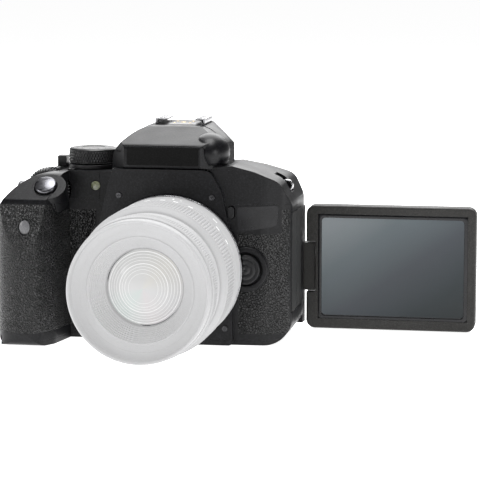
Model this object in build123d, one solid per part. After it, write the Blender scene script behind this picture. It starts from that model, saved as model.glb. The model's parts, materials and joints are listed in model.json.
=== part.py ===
from build123d import *
import math
import os

os.makedirs("parts", exist_ok=True)

# A single-lens reflex camera with a zoom lens and a swing-out screen, in millimetres.
# X runs along the width, with the hand grip on -X and the screen hinge on +X.
# The lens looks along -Y, +Z is up, and the origin is the tripod socket in the base.

# ---- driving dimensions -----------------------------------------------------------------
BODY_LEFT = -75.7          # outer face of the grip side
BODY_RIGHT = 53.4          # outer face of the terminal side
BODY_REAR = 28.0           # back of the main casing
RECESS_FACE = -10.4        # front face between grip and lens mount
CHEEK_FRONT = -17.6        # front face beside the mount, terminal side
BULGE_FRONT = -19.6        # front of the swelling that carries the mount
FLANGE_Y = -22.0           # lens mount flange
SENSOR_Y = 22.0            # image plane, 44 behind the flange
AXIS_Z = 33.4              # height of the lens axis
GRIP_FRONT = -38.0         # foremost face of the hand grip
PLATEAU_Z = 75.2           # top of the casing, dial side
HUMP_Z = 95.2              # top of the prism housing
SEAM_Y = 5.0               # joint between front and rear cover
SEAM_Z = 62.5              # joint between front and top cover
BULGE_TOP = 77.6           # top of the mount swelling
BASE_T = 2.4               # thickness of the bottom cover
WALL = 2.0                 # casing wall
RUBBER = 1.2               # rubber skin thickness
GAP = 0.25                 # clearance round a moving piece

SWING_X, SWING_Y = 50.0, 31.5      # vertical hinge axis of the screen
TILT_Z = 28.8                      # height of the screen's tilt axis
SCREEN_EDGE = 4.2                  # swing axis to the near edge of the screen
SCREEN_W, SCREEN_H, SCREEN_T = 77.2, 56.6, 8.0
ARM_HALF = 10.9                    # half height of the hinge arm
SWING_PIN_R, TILT_PIN_R = 1.25, 1.3

LENS_LENGTH = 62.8         # flange to front rim, lens retracted
RING_R = 33.2              # outside of the zoom ring
THREAD_R = 29.0            # filter thread, 58 mm across
FUNNEL_FRONT = 56.6        # front of the stepped funnel round the glass, from the flange
FUNNEL_STEP = 1.8
FUNNEL_RADII = (22.0, 20.6, 19.2, 17.8, 16.4)
GLASS_R, GLASS_CURVE, GLASS_CROWN = 16.1, 30.0, 51.4   # front element

SLOPE = math.radians(40)                         # tilt of the shutter button's seat
SHUTTER = Vector(-54.0, -25.0, 69.2)             # middle of the button
SEAT_R = 7.6                                     # round seat beside the button
SHUTTER_UP = Vector(0, -math.sin(SLOPE), math.cos(SLOPE))

UP, DOWN = Vector(0, 0, 1), Vector(0, 0, -1)
FRONT, BACK = Vector(0, -1, 0), Vector(0, 1, 0)
RIGHT, LEFT = Vector(1, 0, 0), Vector(-1, 0, 0)


# ---- small helpers ------------------------------------------------------------------------
def block(x, y, z):
    """A box between two values on each axis."""
    centre = Pos((x[0] + x[1]) / 2, (y[0] + y[1]) / 2, (z[0] + z[1]) / 2)
    return centre * Box(x[1] - x[0], y[1] - y[0], z[1] - z[0])


def rod(radius, start, direction, length):
    """A cylinder that starts at a point and runs along a direction."""
    shape = Cylinder(radius, length, align=(Align.CENTER, Align.CENTER, Align.MIN))
    return Plane(origin=start, z_dir=direction) * shape


def ring(outer, inner, start, direction, length):
    """A tube that starts at a point and runs along a direction."""
    return rod(outer, start, direction, length) - rod(inner, start, direction, length)


def pill(across, tall, start, direction, length, up=UP):
    """A rounded bar button: its outline is `across` by `tall`, with fully round ends."""
    long_side, short_side = max(across, tall), min(across, tall)
    turn = 0 if across >= tall else 90
    sketch = Rot(0, 0, turn) * SlotOverall(long_side, short_side)
    plane = Plane(origin=start, x_dir=up.cross(direction), z_dir=direction)
    return extrude(plane * sketch, amount=length)


def outline(points, inset=0.0):
    """A face from (a, b, corner radius) points, shrunk by an inset."""
    line = FilletPolyline(*[(a, b) for a, b, r in points], radius=[r for a, b, r in points], close=True)
    face = make_face(line)
    return offset(face, amount=-inset) if inset else face


def front_prism(points, y, inset=0.0):
    """An outline drawn in X and Z, carried from y[0] to y[1]."""
    plane = Plane(origin=(0, y[0] + inset, 0), x_dir=(1, 0, 0), z_dir=(0, -1, 0))
    return extrude(plane * outline(points, inset), amount=y[1] - y[0] - 2 * inset, dir=(0, 1, 0))


def plan_prism(points, z, inset=0.0):
    """An outline drawn in X and Y, carried from z[0] to z[1]."""
    plane = Plane.XY.offset(z[0] + inset)
    return extrude(plane * outline(points, inset), amount=z[1] - z[0] - 2 * inset, dir=(0, 0, 1))


def side_prism(points, x, inset=0.0):
    """An outline drawn in Y and Z, carried from x[0] to x[1]."""
    plane = Plane(origin=(x[0] + inset, 0, 0), x_dir=(0, 1, 0), z_dir=(1, 0, 0))
    return extrude(plane * outline(points, inset), amount=x[1] - x[0] - 2 * inset, dir=(1, 0, 0))


def screw(at, direction, radius=1.2, length=5.0):
    """A cross-head screw: a low head above its shank."""
    head = rod(radius, at, direction, 0.6)
    shank = rod(radius * 0.5, at - direction * length, direction, length)
    side = direction.cross(UP if abs(direction.Z) < 0.9 else BACK)
    face = Plane(origin=at + direction * 0.3, x_dir=side, z_dir=direction)
    cross = extrude(face * (Rectangle(1.3 * radius, 0.3) + Rectangle(0.3, 1.3 * radius)), amount=1)
    return head + shank - cross


def save(name, shape):
    """Write one sub-part."""
    export_step(shape, f"parts/{name}.step")


# ---- the outer form of the body -----------------------------------------------------------
MAIN_FRONT = [
    (BODY_LEFT, 0, 7), (BODY_LEFT, PLATEAU_Z, 24), (-28, PLATEAU_Z, 0), (28, 79.3, 0),
    (38, 76.8, 20), (48.6, 72.2, 9), (BODY_RIGHT, 62, 8), (BODY_RIGHT, 0, 11),
]
MAIN_PLAN = [
    (BODY_LEFT, BODY_REAR, 7), (BODY_LEFT, RECESS_FACE, 4), (16, RECESS_FACE, 0),
    (16, CHEEK_FRONT, 0), (42, CHEEK_FRONT + 0.8, 8), (BODY_RIGHT, -12, 7),
    (BODY_RIGHT, BODY_REAR, 2.5),
]
TOP_SIDE = [(-40, 0, 0), (-40, 84, 0), (2, 84, 0), (BODY_REAR, 71.6, 4), (BODY_REAR, 0, 0)]
GRIP_PLAN = [
    (BODY_LEFT, 0, 0), (BODY_LEFT, GRIP_FRONT, 13), (-55.5, GRIP_FRONT, 7.5),
    (-50, -28, 10), (-47, RECESS_FACE, 0), (-47, 0, 0),
]
GRIP_SIDE = [
    (20, 0, 0), (GRIP_FRONT, 0, 5), (GRIP_FRONT, 43, 30), (-32.2, 64.4, 1.6), (-18.2, 74.7, 9),
    (-12, PLATEAU_Z, 0), (20, PLATEAU_Z, 0),
]
BULGE_FACE = [
    (-33.5, 0, 2), (-31.8, 52, 0), (-27.5, 70, 4), (-25.2, BULGE_TOP, 0),
    (18.5, BULGE_TOP, 6), (23.6, 68, 8), (27.2, 50, 5), (28.5, 0, 2),
]
HUMP_FRONT = [
    (-29, 60, 0), (-27.4, 83.5, 12), (-15.5, HUMP_Z, 14), (12, HUMP_Z, 14),
    (22.5, 88.5, 9), (25.6, 79, 5), (27.5, 60, 0),
]
HUMP_PLAN = [
    (-20, 36, 0), (-28.6, 4, 8), (-27.5, -10, 6), (-18.0, -24, 0), (12.2, -24, 0),
    (24.5, -12.5, 8), (25.8, 0, 8), (19.5, 36, 0),
]
HUMP_SIDE = [
    (-9, 60, 0), (-9, 76.8, 0), (-21.8, 78.4, 1.0), (-21.8, 88.2, 2.5), (-1.5, HUMP_Z, 9),
    (27, HUMP_Z, 3), (31.5, 90, 3), (33, 72, 0), (33, 60, 0),
]
SHOULDER = (16.8, -9.5, 84.6)                  # rounded swelling at the hump's corner
SHOULDER_RADII = (8.6, 11.0, 8.4)
HUMP_TAPER = Vector(1, 0.25, 1)                # the slant that narrows the hump to the rear
HUMP_TAPER_SUM = 113.0                         # |X| + 0.25 Y + Z on that slant
THUMB_PLAN = [
    (-73.5, 20, 0), (-73.5, 30, 5), (-60, 34, 9), (-33.2, 34, 1.2), (-33.2, 20, 0),
]
LEDGE_SIDE = [(20, 58.4, 0), (33.6, 58.4, 1.2), (33.6, 66, 3), (29, 75, 4), (20, 75, 0)]
LEDGE_FRONT = [(-44, 50, 0), (-44, 78, 0), (10, 78, 0), (38, 70.5, 20), (49, 66, 7), (51, 50, 0)]


def beyond_taper(side, inset=0.0):
    """Everything outside the slant that narrows one side of the hump."""
    way = Vector(side * HUMP_TAPER.X, HUMP_TAPER.Y, HUMP_TAPER.Z)
    reach = HUMP_TAPER_SUM / way.length - inset
    slab = Box(200, 200, 40, align=(Align.CENTER, Align.CENTER, Align.MIN))
    return Plane(origin=way.normalized() * reach, z_dir=way) * slab


def body_form(inset=0.0):
    """The closed outer form of the body, or the same form shrunk by an inset."""
    main = front_prism(MAIN_FRONT, (-30, BODY_REAR), inset) & plan_prism(MAIN_PLAN, (0, 90), inset)
    main = main & side_prism(TOP_SIDE, (-90, 60), inset)
    grip = plan_prism(GRIP_PLAN, (0, 90), inset) & side_prism(GRIP_SIDE, (-90, -20), inset)
    grip = grip & front_prism(MAIN_FRONT, (-60, BODY_REAR), inset)
    bulge = front_prism(BULGE_FACE, (BULGE_FRONT, 10), inset)
    hump = front_prism(HUMP_FRONT, (-40, 60), inset) & side_prism(HUMP_SIDE, (-60, 60), inset)
    hump = hump & plan_prism(HUMP_PLAN, (0, 120), inset)
    hump -= beyond_taper(1, inset)
    hump -= beyond_taper(-1, inset)
    radii = tuple(radius - inset for radius in SHOULDER_RADII)
    hump += Pos(*SHOULDER) * scale(Sphere(1), radii)
    thumb = plan_prism(THUMB_PLAN, (8, PLATEAU_Z - 3), inset) & front_prism(MAIN_FRONT, (0, 60), inset)
    ledge = side_prism(LEDGE_SIDE, (-40, 50.5), inset) & front_prism(LEDGE_FRONT, (0, 60), inset)
    seat = rod(SEAT_R - inset, SHUTTER + RIGHT * 1.4 - SHUTTER_UP * 9, SHUTTER_UP, 9.5 - inset)
    return main + grip + bulge + hump + thumb + ledge + seat


# ---- openings shared by the covers ----------------------------------------------------------
MODE_DIAL = Vector(-39.5, 5.0, PLATEAU_Z)
MODE_DIAL_R = 11.0
MAIN_DIAL = Vector(-56.6, -8.0, 66.4)
MAIN_DIAL_R = 10.0
MAIN_DIAL_W = 8.0
FLASH_PIVOT = Vector(0, 1.6, HUMP_Z - 1.5)   # hinge line, one barrel radius under the top
RELEASE = Vector(34.0, CHEEK_FRONT, 34.0)
RELEASE_R = 6.6
FLASH_KEY = Vector(27.6, CHEEK_FRONT, 59.0)
REMOTE = Vector(-61.2, -35.2, 52.6)
BATTERY_DOOR_X = (-73.0, -53.5)
BATTERY_DOOR_Y = (-33.0, 6.0)
CARD_DOOR_Y = (6.0, 24.0)
CARD_DOOR_Z = (16.0, 56.0)
PORTS_Y = ((-9.0, 3.2), (4.0, 16.4))
PORTS_Z = (14.0, 58.0)
ROUND_KEYS = {
    # name: (centre on the surface, outward direction, radius)
    "iso_button": (Vector(-46.4, -7.7, PLATEAU_Z), UP, 1.9),
    "live_view_button": (Vector(-23.5, 33.0, 69.0), BACK, 2.6),
    "quick_button": (Vector(-38.4, 34.0, 51.0), BACK, 2.4),
    "set_button": (Vector(-51.0, 34.0, 38.0), BACK, 4.0),
    "play_button": (Vector(-59.0, 34.0, 20.0), BACK, 2.6),
    "erase_button": (Vector(-45.0, 34.0, 20.0), BACK, 2.6),
}
KEY_DEPTHS = {"iso_button": (2.4, 0.8), "set_button": (3.0, 1.6)}   # below and above the surface
BAR_KEYS = {
    "menu_button": (Vector(38.0, 33.6, 62.5), BACK, (7.0, 3.6)),
    "info_button": (Vector(27.0, 33.6, 62.5), BACK, (7.0, 3.6)),
}
SCREWS_FRONT = ((-22.4, 65.8), (19.3, 65.6), (25.0, 7.6), (-27.0, 9.0))
SCREWS_BASE = ((-30, 20), (40, 18), (42, -10), (-30, -12), (20, 22))
PAD_CENTRE = Vector(-51.0, 34.0, 38.0)
PAD_R = 9.5


def cut_openings(shape):
    """Cut every hole for dials, keys, doors and the lens out of the casing."""
    shape -= rod(27.2, (0, -40, AXIS_Z), BACK, 40)
    shape -= rod(33.2, (0, BULGE_FRONT - 9, AXIS_Z), BACK, 9 + 0.02)
    shape -= rod(MAIN_DIAL_R + 0.4, MAIN_DIAL - BACK * (MAIN_DIAL_W / 2 + 0.4), BACK, MAIN_DIAL_W + 0.8)
    shape -= rod(2.6, MODE_DIAL - UP * 6, UP, 12)
    shape -= rod(4.9 + 0.35, SHUTTER - SHUTTER_UP * 4, SHUTTER_UP, 9)
    shape -= rod(RELEASE_R + GAP, RELEASE + BACK * 8, FRONT, 20)
    shape -= pill(2.6 + 2 * GAP, 5.2 + 2 * GAP, FLASH_KEY + BACK * 6, FRONT, 9)
    for centre, way, radius in ROUND_KEYS.values():
        shape -= rod(radius + GAP, centre - way * 6, way, 9)
    for centre, way, size in BAR_KEYS.values():
        shape -= pill(size[0] + 2 * GAP, size[1] + 2 * GAP, centre - way * 6, way, 9)
    shape -= rod(PAD_R + GAP, PAD_CENTRE - BACK * 2.6, BACK, 6)
    shape -= block((BATTERY_DOOR_X[0] - GAP, BATTERY_DOOR_X[1] + GAP),
                   (BATTERY_DOOR_Y[0] - GAP, BATTERY_DOOR_Y[1] + GAP), (-1, 4))
    shape -= block((-80, -70), (CARD_DOOR_Y[0] - GAP, CARD_DOOR_Y[1] + GAP),
                   (CARD_DOOR_Z[0] - GAP, CARD_DOOR_Z[1] + GAP))
    shape -= block((BODY_RIGHT - 1.6, 60), (PORTS_Y[0][0] - GAP, PORTS_Y[1][1] + GAP),
                   (PORTS_Z[0] - GAP, PORTS_Z[1] + GAP))
    shape -= block((BODY_RIGHT - 3, 60), (PORTS_Y[0][0] + 2, PORTS_Y[1][1] - 1.5),
                   (PORTS_Z[0] + 2, PORTS_Z[1] - 2))
    shape -= lid_space()
    shape -= block((-32.0, 47.0), (27.2, 60), (-1, 58.1))
    shape -= block((46.0, 60.0), (27.2, 60), (-1, 58.1))
    shape -= block((-15, 15), (20, 60), (73.5, 87.5))
    shape -= lug_pocket(1) + lug_pocket(-1)
    shape -= rod(2.2, (-35.0, RECESS_FACE - 5, 68.7), BACK, 12)
    shape -= pill(5.4, 6.8, REMOTE + FRONT * 4, BACK, 10)
    return shape


LID_SIDE = [
    (-40, 88.0, 0), (-21.0, 88.0, 0), (-18.8, 85.2, 1.5), (FLASH_PIVOT.Y, 85.2, 0),
    (FLASH_PIVOT.Y, 110, 0), (-40, 110, 0),
]
LID_SHOULDER = [(16.2, 90, 0), (16.2, 84.5, 0), (17.8, 79.8, 0), (40, 79.8, 0), (40, 90, 0)]
BARREL_X = (-12.5, 10.5)
BARREL_R = 1.5


def lid_form(inset=0.0):
    """The block that the flash lid fills, before it is cut to the hump's surface."""
    lid = side_prism(LID_SIDE, (-60, 60), inset)
    return lid + front_prism(LID_SHOULDER, (-40, FLASH_PIVOT.Y), inset)


def lid_barrel(radius, spare=0.0):
    """The lid's hinge barrel, across the hump."""
    start = FLASH_PIVOT + RIGHT * (BARREL_X[0] - spare)
    return rod(radius, start, RIGHT, BARREL_X[1] - BARREL_X[0] + 2 * spare)


def lid_space():
    """The well in the hump where the flash lid lies, with room for its barrel."""
    return lid_form(-0.2) + lid_barrel(BARREL_R + 0.45, 9.0)


def lug_pocket(side):
    """A pocket in a shoulder where the strap eyelet stands."""
    if side > 0:
        return block((43.8, 60), (0.4, 7.8), (66.2, 80))
    return block((-80, -70.2), (0.4, 7.8), (63.2, 74.0))


# ---- casing ----------------------------------------------------------------------------------
outer = body_form()
inner = body_form(WALL)
skin_bed = body_form(RUBBER)
throat_wall = rod(30.5, (0, BULGE_FRONT, AXIS_Z), BACK, 8)
socket_boss = rod(7.0, (0, 0, 0), UP, 9)
screen_wall = block((-33.0, 52.0), (26.0, 27.2), (1, 60))
lid_floor = block((-27, 17), (-21, 4.5), (83.2, 86)) + block((15, 27), (-23, 4.5), (75.6, 86))
casing = outer - inner + ((throat_wall + screen_wall + lid_floor) & outer)
casing = cut_openings(casing)

top_zone = block((-90, 90), (-60, 60), (SEAM_Z, 120))
top_zone -= block((-33.2, 28.6), (-60, SEAM_Y), (0, BULGE_TOP))
base_zone = block((-90, 90), (-60, 60), (-5, BASE_T))
front_zone = block((-90, 90), (-60, SEAM_Y), (BASE_T, 120)) - top_zone
rear_zone = block((-90, 90), (SEAM_Y, 60), (BASE_T, 120)) - top_zone

grip_zone = block((-90, -49.2), (-60, SEAM_Y - 2), (6.0, SEAM_Z - 0.3))
grip_zone += block((-50, -35.0), (-30, SEAM_Y - 2), (6.0, 58.0))
cheek_zone = block((30.5, 52.6), (-60, -9.8), (5.0, 60.0)) - rod(10.2, RELEASE + BACK * 8, FRONT, 30)
cheek_zone -= block((29.0, 49.4), (-60, 0), (49.6, 63.5))
thumb_zone = block((-90, -56), (26, 60), (48.6, 60.4))

remote_hole = pill(5.4, 6.8, REMOTE + FRONT * 4, BACK, 10)
skin = outer - skin_bed
grip_rubber = (skin & grip_zone) - remote_hole
side_rubber = skin & cheek_zone
thumb_rubber = skin & thumb_zone

tripod_hole = rod(5.0, (0, 0, -1), UP, 12)
top_cover = casing & top_zone
front_cover = (casing & front_zone) - grip_rubber - side_rubber
rear_cover = (casing & rear_zone) - thumb_rubber
bottom_cover = outer & base_zone
bottom_cover -= block((BATTERY_DOOR_X[0] - GAP, BATTERY_DOOR_X[1] + GAP),
                      (BATTERY_DOOR_Y[0] - GAP, BATTERY_DOOR_Y[1] + GAP), (-1, 5))
bottom_cover -= block((-32.0, 60), (27.2, 60), (-1, 60))
bottom_cover -= tripod_hole

# knuckles that hold the screen's vertical pin, and the pin itself
KNUCKLE_R = 3.1
knuckles = Part()
for low, high in ((3.0, TILT_Z - ARM_HALF - 0.3), (TILT_Z + ARM_HALF + 0.3, 56.5)):
    knuckles += rod(KNUCKLE_R, (SWING_X, SWING_Y, low), UP, high - low)
    knuckles += block((SWING_X - 2.6, SWING_X + 2.8), (26.5, SWING_Y), (low, high))
rear_cover += knuckles
swing_pin = rod(SWING_PIN_R, (SWING_X, SWING_Y, 4.0), UP, 51)
rear_cover -= swing_pin

screws = Part()
for x, z in SCREWS_FRONT:
    screws += screw(Vector(x, BULGE_FRONT, z), FRONT)
    front_cover -= rod(0.6, (x, BULGE_FRONT, z), BACK, 5)
for x, y in SCREWS_BASE:
    screws += screw(Vector(x, y, 0.6), DOWN)
    bottom_cover -= rod(1.2, (x, y, 0), UP, 0.6) + rod(0.6, (x, y, 0), UP, 5.6)
save("case_screws", screws)

save("front_cover", front_cover)
save("rear_cover", rear_cover)
save("bottom_cover", bottom_cover)
save("grip_rubber", grip_rubber)
save("side_rubber", side_rubber)
save("thumb_rubber", thumb_rubber)
save("screen_swing_pin", swing_pin)

BADGE_FACE = [(30.6, 50.2, 1.6), (47.4, 53.2, 1.6), (48.2, 62.2, 1.6), (30.0, 61.4, 1.6)]
badge_plate = (body_form(-0.3) - outer) & front_prism(BADGE_FACE, (-60, -9))
save("badge_plate", badge_plate)

tripod_socket = ring(5.0, 2.6, (0, 0, 0), UP, 7) + rod(5.0, (0, 0, 7), UP, 1.4)
save("tripod_socket", tripod_socket)

lamp = rod(2.0, (-35.0, RECESS_FACE - 0.5, 68.7), BACK, 4)
save("timer_lamp", lamp)
save("remote_sensor", pill(4.8, 6.2, REMOTE + FRONT * 0.6, BACK, 4))


def strap_lug(side):
    """A pressed eyelet that stands in a shoulder pocket, bored for a strap's split ring."""
    x, z = ((46.2, 51.8), (66.2, 71.6)) if side > 0 else ((-74.6, -70.2), (63.2, 68.6))
    eyelet = block(x, (2.2, 5.8), z)
    centre = Vector((x[0] + x[1]) / 2, 0, (z[0] + z[1]) / 2)
    return eyelet - rod(1.3, centre, BACK, 10)


save("strap_lugs", strap_lug(1) + strap_lug(-1))

# ---- lens mount and light path -----------------------------------------------------------------
mount_ring = ring(33.0, 27.0, (0, BULGE_FRONT, AXIS_Z), FRONT, BULGE_FRONT - FLANGE_Y - 0.02)
mount_ring += ring(27.0, 25.4, (0, BULGE_FRONT + 3.0, AXIS_Z), FRONT, 3.0 + 0.6)
save("mount_ring", mount_ring)

MIRROR_HINGE = Vector(0, 13.0, 45.6)
chamber = block((-19.5, 19.5), (-11.4, 16.6), (14.0, 49.0)) - block((-17.5, 17.5), (-12, 17), (16.0, 50))
save("mirror_box", chamber)
mirror_way = Vector(0, -1, -1).normalized()
mirror_face = Plane(origin=MIRROR_HINGE, x_dir=(1, 0, 0), z_dir=(0, -1, 1))
mirror = mirror_face * Pos(0, -14.2, 0) * Box(30.0, 28.0, 1.2)
mirror += rod(0.9, MIRROR_HINGE + LEFT * 16.0, RIGHT, 32.0)
save("main_mirror", mirror)
shutter = block((-21, 21), (17.0, 20.4), (17, 49)) - block((-11.6, 11.6), (16, 22), (25, 41))
curtain = block((-11.6, 11.6), (18.6, 18.8), (25, 41))
save("shutter_unit", shutter + curtain)
sensor = block((-13, 13), (SENSOR_Y - 0.8, SENSOR_Y + 0.8), (AXIS_Z - 9, AXIS_Z + 9))
sensor += block((-19, 19), (SENSOR_Y + 0.8, SENSOR_Y + 2.0), (AXIS_Z - 14, AXIS_Z + 14))
save("image_sensor", sensor)
save("circuit_board", block((-48, 46), (24.3, 25.5), (4.5, 60)) - block((-19.5, 19.5), (24, 26), (4, 8)))
save("focusing_screen", block((-14, 14), (-9, 13), (49.2, 50.6)))
PRISM_SIDE = [(-11, 51, 0), (13, 51, 0), (19, 74, 0), (19, 82.5, 0), (2, 82.8, 0), (-11, 70, 0)]
save("pentamirror", side_prism(PRISM_SIDE, (-15, 15)))
save("eyepiece_lens", block((-12.5, 12.5), (26.5, 29.5), (75, 86)))
cup = block((-16.4, 16.4), (30.2, 38.2), (71.4, 90.0))
cup = fillet(cup.edges().filter_by(Axis.Y), 6)
cup -= block((-11.5, 11.5), (25, 45), (74.4, 86.6))
tunnel = block((-14.8, 14.8), (20.5, 30.2), (73.7, 87.3)) - block((-12.6, 12.6), (15, 45), (74.9, 86.1))
eyecup = cup - outer + tunnel - block((-12.6, 12.6), (26.4, 29.6), (74.9, 86.1))
save("eyecup", eyecup)

# ---- hot shoe ------------------------------------------------------------------------------------
SHOE_Y = (6.5, 25.5)
shoe = block((-11.3, 11.3), SHOE_Y, (HUMP_Z - 0.6, HUMP_Z + 0.1))
for side in (-1, 1):
    near, far = sorted((side * 9.4, side * 11.3))
    shoe += block((near, far), SHOE_Y, (HUMP_Z, HUMP_Z + 2.6))
    near, far = sorted((side * 6.3, side * 11.3))
    shoe += block((near, far), SHOE_Y, (HUMP_Z + 1.9, HUMP_Z + 2.6))
save("hot_shoe", shoe)
top_cover -= block((-11.3, 11.3), SHOE_Y, (HUMP_Z - 0.6, HUMP_Z + 3))
save("top_cover", top_cover)

# ---- flash -----------------------------------------------------------------------------------------
lid = (lid_form() + lid_barrel(BARREL_R)) & outer
lid -= block((-15, 10), (-17.5, -7), (84, 86.4))
save("flash_lid", lid)
save("flash_window", block((-14.9, 9.9), (-17.4, -7.1), (85.3, 86.4)))

# ---- dials and levers --------------------------------------------------------------------------------
mode_dial = rod(MODE_DIAL_R, MODE_DIAL + UP * 2.3, UP, 6.9)
mode_dial = chamfer(mode_dial.edges().group_by(Axis.Z)[-1], 0.8)
mode_dial += rod(2.5, MODE_DIAL - UP * 3, UP, 6)
save("mode_dial", mode_dial)
lever = ring(11.4, 2.6, MODE_DIAL + UP * 0.3, UP, 1.7)
lever += block((-55.4, -51.4), (2.0, 8.0), (PLATEAU_Z + 0.3, PLATEAU_Z + 5.2))
lever += block((-53, -48), (2.5, 7.5), (PLATEAU_Z + 0.3, PLATEAU_Z + 2.0))
save("power_switch", lever)
main_dial = rod(MAIN_DIAL_R, MAIN_DIAL - BACK * MAIN_DIAL_W / 2, BACK, MAIN_DIAL_W)
save("main_dial", main_dial)

# ---- keys ----------------------------------------------------------------------------------------------
shutter_key = rod(4.9, SHUTTER - SHUTTER_UP * 1.6, SHUTTER_UP, 4.4)
shutter_key = fillet(shutter_key.edges().filter_by(GeomType.CIRCLE).sort_by(
    lambda edge: edge.center().dot(SHUTTER_UP))[-1], 1.4)
shutter_key += rod(2.0, SHUTTER - SHUTTER_UP * 6, SHUTTER_UP, 5)
save("shutter_button", shutter_key)
for name, (centre, way, radius) in ROUND_KEYS.items():
    depth, reach = KEY_DEPTHS.get(name, (3.0, 1.0))
    save(name, rod(radius, centre - way * depth, way, depth + reach))
for name, (centre, way, size) in BAR_KEYS.items():
    save(name, pill(size[0], size[1], centre - way * 3, way, 4.0))
release_key = rod(RELEASE_R, RELEASE + BACK * 3, FRONT, 5.2)
release_key -= rod(33.6, (0, -40, AXIS_Z), BACK, 40)
save("lens_release_button", release_key)
save("flash_button", pill(2.6, 5.2, FLASH_KEY + BACK * 3, FRONT, 4.0))
pad = ring(PAD_R, 4.0 + GAP, PAD_CENTRE - BACK * 1.4, BACK, 2.4)
save("cross_pad", pad)

# ---- doors -------------------------------------------------------------------------------------------
battery_door = block(BATTERY_DOOR_X, BATTERY_DOOR_Y, (0, 2.0))
save("battery_door", battery_door)
save("battery_pack", block((-72, -58), (-30, 3), (4.2, 53.6)))
card_door = (outer - body_form(1.4)) & block((-90, -70), CARD_DOOR_Y, CARD_DOOR_Z)
save("card_door", card_door)
save("memory_card", block((-72.5, -40.5), (14, 16.1), (24, 48)))
names = ("terminal_cover_front", "terminal_cover_rear")
for name, span in zip(names, PORTS_Y):
    save(name, block((BODY_RIGHT - 1.3, BODY_RIGHT), span, PORTS_Z))

# ---- swing-out screen ------------------------------------------------------------------------------------
SCREEN_X = (SWING_X + SCREEN_EDGE, SWING_X + SCREEN_EDGE + SCREEN_W)
SCREEN_Y = (SWING_Y - SCREEN_T / 2, SWING_Y + SCREEN_T / 2)
SCREEN_Z = (TILT_Z - SCREEN_H / 2, TILT_Z + SCREEN_H / 2)
NOTCH = 4.3
case = block(SCREEN_X, SCREEN_Y, SCREEN_Z)
case = fillet(case.edges().filter_by(Axis.Y), 4.0)
case = fillet(case.faces().sort_by(Axis.Y)[-1].edges() + case.faces().sort_by(Axis.Y)[0].edges(), 0.9)
case -= block((SCREEN_X[0] - 1, SCREEN_X[0] + NOTCH), (20, 50),
              (TILT_Z - ARM_HALF - 0.9, TILT_Z + ARM_HALF + 0.9))
glass_box = block((SCREEN_X[0] + 5.4, SCREEN_X[1] - 3.6), (SCREEN_Y[0] + 0.35, SCREEN_Y[0] + 1.5),
                  (SCREEN_Z[0] + 4.6, SCREEN_Z[1] - 3.9))
panel_box = block((SCREEN_X[0] + 6.4, SCREEN_X[1] - 4.6), (SCREEN_Y[0] + 1.5, SCREEN_Y[0] + 2.6),
                  (SCREEN_Z[0] + 5.6, SCREEN_Z[1] - 4.9))
case -= block((SCREEN_X[0] + 5.4, SCREEN_X[1] - 3.6), (20, SCREEN_Y[0] + 1.5),
              (SCREEN_Z[0] + 4.6, SCREEN_Z[1] - 3.9))
case -= panel_box
pin_hole = rod(TILT_PIN_R + 0.05, (SCREEN_X[0], SWING_Y, TILT_Z), RIGHT, 11)
seam_y = SWING_Y + 0.5
save("screen_front_case", (case & block((0, 200), (0, seam_y), (-50, 100))) - pin_hole)
save("screen_back_case", (case & block((0, 200), (seam_y, 60), (-50, 100))) - pin_hole)
save("screen_glass", glass_box)
save("screen_display", panel_box)
arm = block((SWING_X, SCREEN_X[0] + NOTCH - 0.4), (SWING_Y - 3.0, SWING_Y + 3.0),
            (TILT_Z - ARM_HALF, TILT_Z + ARM_HALF))
arm += rod(KNUCKLE_R, (SWING_X, SWING_Y, TILT_Z - ARM_HALF), UP, 2 * ARM_HALF)
arm -= rod(SWING_PIN_R + 0.05, (SWING_X, SWING_Y, 0), UP, 60)
arm += rod(TILT_PIN_R, (SCREEN_X[0] + NOTCH - 1, SWING_Y, TILT_Z), RIGHT, 7)
save("screen_arm", arm)

# ---- lens -------------------------------------------------------------------------------------------------
def along(distance):
    """A point on the lens axis, a distance in front of the flange."""
    return Vector(0, FLANGE_Y - distance, AXIS_Z)


lens_barrel = ring(32.6, 24.0, along(0), FRONT, 4.0) + ring(33.0, 29.0, along(4.0), FRONT, 9.0)
lens_barrel += ring(29.9, 29.0, along(13.0), FRONT, 25.0) + ring(25.2, 23.0, along(-5.0), FRONT, 6)
save("lens_barrel", lens_barrel)
save("zoom_ring", ring(RING_R, 29.96, along(13.3), FRONT, 23.7))
tube = ring(28.6, 26.0, along(6.0), FRONT, 33.0) + ring(30.6, 26.0, along(39.0), FRONT, 8.0)
tube += ring(29.7, 26.0, along(47.0), FRONT, 10.0) + ring(30.5, 26.0, along(57.0), FRONT, 0.8)
tube += ring(30.5, THREAD_R, along(57.8), FRONT, LENS_LENGTH - 57.8)
save("zoom_tube", tube)
save("focus_ring", ring(31.3, 29.76, along(47.3), FRONT, 9.4))
front_ring = Part()
for index, radius in enumerate(FUNNEL_RADII):
    front_ring += ring(25.9, radius, along(FUNNEL_FRONT - FUNNEL_STEP * (index + 1)), FRONT, FUNNEL_STEP)
save("lens_front_ring", front_ring)
dome = Plane(origin=along(GLASS_CROWN - GLASS_CURVE), z_dir=(0, -1, 0)) * Sphere(GLASS_CURVE)
element = rod(GLASS_R, along(GLASS_CROWN - 7.5), FRONT, 9) & dome
save("front_element", element)
rear_group = rod(14.0, along(8.0), FRONT, 9.0) + ring(23.0, 13.9, along(8.0), FRONT, 5.0)
save("rear_lens_group", rear_group)
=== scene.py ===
# %% [markdown]
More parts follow.
